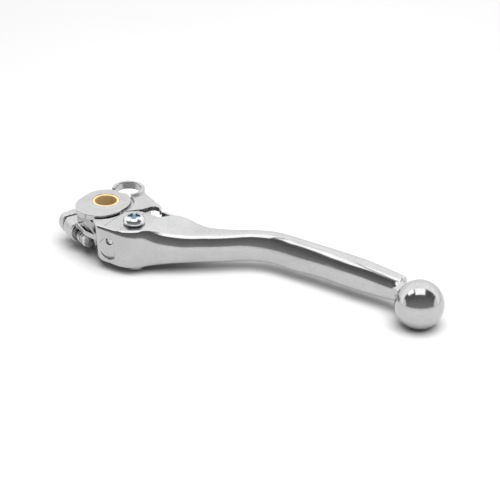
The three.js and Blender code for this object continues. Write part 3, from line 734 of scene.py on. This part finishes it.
place_piece(
    cast("lever_blade_visual", blade, (-12.4, -16.9, 0.0), (135.0, 21.5, 17.6), BLADE_CELL),
    "blade", "lever_blade", POLISHED)
place_piece(
    cast("pivot_bracket_visual", bracket, (-16.2, -14.5, 0.4), (25.0, 19.1, 18.3), BRACKET_CELL),
    "bracket", "pivot_bracket", SATIN)
place_piece(
    turned("pivot_bush_visual", [(PIVOT_BORE, TUBE_BOTTOM), (PIVOT_BUSH, TUBE_BOTTOM), (PIVOT_BUSH, BOSS_TOP),
                                 (PIVOT_BORE, BOSS_TOP)], (0, 0), edge=0.25),
    "bracket", "pivot_bush", BRONZE)
place_piece(
    cast("knuckle_screw_visual", knuckle_screw, (13.8, -11.9, 6.0), (22.4, -3.3, 20.8), 0.1),
    "blade", "knuckle_screw", ZINC)
for bush, flange, end in (
        ("upper", SLOT[1] - 0.1, SLOT_MIDDLE + RUN),
        ("lower", SLOT[0] + 0.1, SLOT_MIDDLE - RUN)):
    step = math.copysign(0.7, end - flange)
    place_piece(
        turned(f"tongue_bush_{bush}_visual", [
            (SLEEVE + 0.05, flange), (HUB_RADIUS, flange), (HUB_RADIUS, flange + step),
            (SLEEVE + 1, flange + step), (SLEEVE + 1, end), (SLEEVE + 0.05, end)], KNUCKLE, edge=0.1),
        "bracket", f"tongue_bush_{bush}", BRONZE)
place_piece(
    turned("knuckle_sleeve_nut_visual", [
        (0, 1.9), (2.1, 1.9), (2.1, 0), (FLANGE - 0.5, 0), (FLANGE, 0.5), (FLANGE, FLANGE_HEIGHT),
        (SHOULDER, FLANGE_HEIGHT), (SHOULDER, HEAD_BOTTOM - 0.05), (SLEEVE, HEAD_BOTTOM - 0.05),
        (SLEEVE, HEAD_TOP - 0.3),
        (SCREW_SHANK + 0.1, HEAD_TOP - 0.3), (SCREW_SHANK + 0.1, 3.0), (0, 3.0)], KNUCKLE),
    "blade", "knuckle_sleeve_nut", ZINC)
place_piece(
    coil("return_spring_visual", Matrix.Translation((KNUCKLE[0], KNUCKLE[1], COIL_FLOOR + 0.15)),
         COIL_RADIUS, COIL_WIRE, 2.7, 1.6, phase=math.pi * 0.1),
    "bracket", "return_spring", STEEL)


def lug_matrix(along):
    """Local Z along the adjuster's axis."""
    cos, sin = math.cos(LUG_ANGLE), math.sin(LUG_ANGLE)
    turn = Vector((0, 0, 1)).rotation_difference(Vector((cos, sin, 0))).to_matrix().to_4x4()
    place = (LUG_ORIGIN[0] + along * cos, LUG_ORIGIN[1] + along * sin, LUG_ORIGIN[2] - ADJUSTER_DROP)
    return Matrix.Translation(place) @ turn


place_piece(
    coil("adjuster_spring_visual", lug_matrix(ADJUSTER_SPRING[0]), ADJUSTER_THREAD + 0.3, SPRING_WIRE,
         ADJUSTER_SPRING[1] - ADJUSTER_SPRING[0], 2.5),
    "blade", "adjuster_spring", STEEL)


def adjuster_screw(points):
    along, across, up = lug_coordinates(points, ADJUSTER_DROP)
    radial = np.hypot(across, up)
    turns = along / THREAD_PITCH + np.arctan2(up, across) / (2 * math.pi)
    ridges = THREAD_DEPTH * np.abs(turns % 1 - 0.5) * 2
    thread = where(radial - ADJUSTER_THREAD + ridges, between(along, 0.25, 12.0), edge=0.2)
    corner = np.stack([across, up], -1)
    sides = [corner @ np.array([math.cos(a), math.sin(a)]) - ADJUSTER_HEAD * math.cos(math.pi / 6)
             for a in np.arange(6) * math.pi / 3]
    head = where(np.maximum.reduce(sides), between(along, *ADJUSTER_HEAD_SPAN), edge=0.2)
    return joined(head, thread, fillet=0.1)


def adjuster_washer(points):
    along, across, up = lug_coordinates(points, ADJUSTER_DROP)
    radial = np.hypot(across, up)
    return where(radial - ADJUSTER_HEAD + 0.1, ADJUSTER_THREAD + 0.1 - radial,
                 between(along, *ADJUSTER_WASHER), edge=0.08)


def adjuster_pad(points):
    return adjuster_rod(points, (-2.5, 0.05), PAD_RADIUS, edge=0.15)


def anchor_pin(points):
    x, y, z = points.T
    radial = np.hypot(x - ANCHOR_PLACE[0], z - ANCHOR_PLACE[2]) - ANCHOR_PIN
    return where(radial, between(y, ANCHOR_PLACE[1], ANCHOR_PLACE[1] + 2), edge=0.2)


for name, body, shape, cell, material, slot in (
        ("adjuster_screw", "adjuster", adjuster_screw, 0.12, STEEL, "steel"),
        ("adjuster_washer", "adjuster_follower", adjuster_washer, 0.1, STEEL, "steel"),
        ("adjuster_pad", "bracket", adjuster_pad, 0.12, STEEL, "steel"),
        ("spring_anchor_pin", "blade", anchor_pin, 0.12, STEEL, "steel")):
    low, high = (np.array(corner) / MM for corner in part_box(name))
    place_piece(cast(f"{name}_visual", shape, low, high, cell), body, name, material)


# ---------------------------------------------------------------- floor, light and camera
AZIMUTH = math.radians(33)        # the camera's side of the lever
TOWARDS = Vector((math.sin(AZIMUTH), -math.cos(AZIMUTH), 0))
ACROSS = Vector((math.cos(AZIMUTH), math.sin(AZIMUTH), 0))
MIDDLE = Vector((0.055, 0.004, 0))


def floor():
    half = 3.0
    points = np.array([(-half, -half, 0), (half, -half, 0), (half, half, 0), (-half, half, 0)]) / MM
    piece = mesh_object("floor", points, [(0, 1, 2, 3)])
    material, nodes, links, shader, place = new_material("pale_floor")
    shader.inputs["Roughness"].default_value = 0.9
    shader.inputs["Specular IOR Level"].default_value = 0.0
    tone = ranged(nodes, links, noise(nodes, links, place, 200.0, 2.0), 0, 1)
    colour = blended(nodes, links, tone, (0.34, 0.34, 0.34), (0.325, 0.325, 0.325))
    links.new(colour, shader.inputs["Base Color"])
    piece.data.materials.append(material)


def softbox(name, direction, distance, width, height, power):
    """An area light that faces the lever, and isn't mirrored in it."""
    data = bpy.data.lights.new(name, "AREA")
    data.shape = "RECTANGLE"
    data.size, data.size_y = width, height
    data.energy = power
    lamp = bpy.data.objects.new(name, data)
    lamp.visible_glossy = False
    bpy.context.scene.collection.objects.link(lamp)
    direction = direction.normalized()
    lamp.location = MIDDLE + direction * distance
    lamp.rotation_mode = "QUATERNION"
    lamp.rotation_quaternion = direction.to_track_quat("Z", "Y")


# What the metal mirrors, in spans of two angles in degrees. The first rises from the camera's side, over
# the top, to the far side; the second runs from left to right.
DARK_SIDE = ((9, 108), (-69, 65))
CENTRE_WINDOW = ((75, 108), (-19, 20))
LEFT_WINDOW = ((88, 109), (-48, -23))
WINDOW_LIGHT = 1.9


def studio():
    """The room as the metal mirrors it: white behind the lever, dark on the camera's side."""
    world = bpy.data.worlds.new("studio")
    bpy.context.scene.world = world
    world.use_nodes = True
    nodes, links = world.node_tree.nodes, world.node_tree.links
    background = nodes["Background"]
    direction = nodes.new("ShaderNodeTexCoord").outputs["Generated"]

    def part(vector):
        node = nodes.new("ShaderNodeVectorMath")
        node.operation = "DOT_PRODUCT"
        node.inputs[1].default_value = vector
        links.new(direction, node.inputs[0])
        return node.outputs["Value"]

    def maths(operation, *values):
        node = nodes.new("ShaderNodeMath")
        node.operation = operation
        for socket, value in zip(node.inputs, values):
            if isinstance(value, (int, float)):
                socket.default_value = value
            else:
                links.new(value, socket)
        return node.outputs["Value"]

    def window(value, low, high, soft):
        up = ranged(nodes, links, value, 0, 1, low - soft, low + soft)
        down = ranged(nodes, links, value, 1, 0, high - soft, high + soft)
        return maths("MULTIPLY", up, down)

    climb = maths("MULTIPLY", maths("ARCTAN2", part((0, 0, 1)), part(TOWARDS)), 180 / math.pi)
    aside = maths("MULTIPLY", maths("ARCSINE", part(ACROSS)), 180 / math.pi)

    def patch(spans, soft):
        return maths("MULTIPLY", window(climb, *spans[0], soft), window(aside, *spans[1], soft))

    dark = patch(DARK_SIDE, 3)
    centre = patch(CENTRE_WINDOW, 1.5)
    left = patch(LEFT_WINDOW, 1.5)
    gloom = ranged(nodes, links, climb, 0.33, 0.14, 9, 70)
    sky = ranged(nodes, links, climb, 1.1, 1.5, 100, 112)
    horizon = ranged(nodes, links, climb, 0, 0.35, 140, 165)
    room = maths("SUBTRACT", sky, horizon)
    level = maths("ADD", maths("MULTIPLY", dark, gloom),
                  maths("MULTIPLY", maths("SUBTRACT", 1, dark), room))
    level = maths("ADD", level, maths("MULTIPLY", maths("ADD", centre, left), WINDOW_LIGHT))
    links.new(level, background.inputs["Strength"])
    background.inputs["Color"].default_value = (1, 1, 1, 1)


CAMERA_PLACE = (0.4610, -0.6130, 0.4130)
CAMERA_RIGHT = Vector((0.8387, 0.5446, 0))
CAMERA_UP = Vector((-0.2599, 0.4002, 0.8788))


def camera():
    data = bpy.data.cameras.new("camera")
    data.lens = 169.2
    data.sensor_width = 36
    view = bpy.data.objects.new("camera", data)
    bpy.context.scene.collection.objects.link(view)
    view.location = CAMERA_PLACE
    right, up = CAMERA_RIGHT.normalized(), CAMERA_UP.normalized()
    back = right.cross(up).normalized()
    up = back.cross(right)
    view.rotation_mode = "QUATERNION"
    view.rotation_quaternion = Matrix((right, up, back)).transposed().to_quaternion()
    data.clip_start, data.clip_end = 0.05, 20
    bpy.context.scene.camera = view


floor()
studio()
softbox("overhead", Vector((0, 0, 1)) + TOWARDS * 0.36 + ACROSS * 0.15, 1.1, 1.1, 1.1, 43.0)
camera()
bpy.context.scene.view_settings.view_transform = "Standard"
bpy.context.scene.view_settings.look = "None"
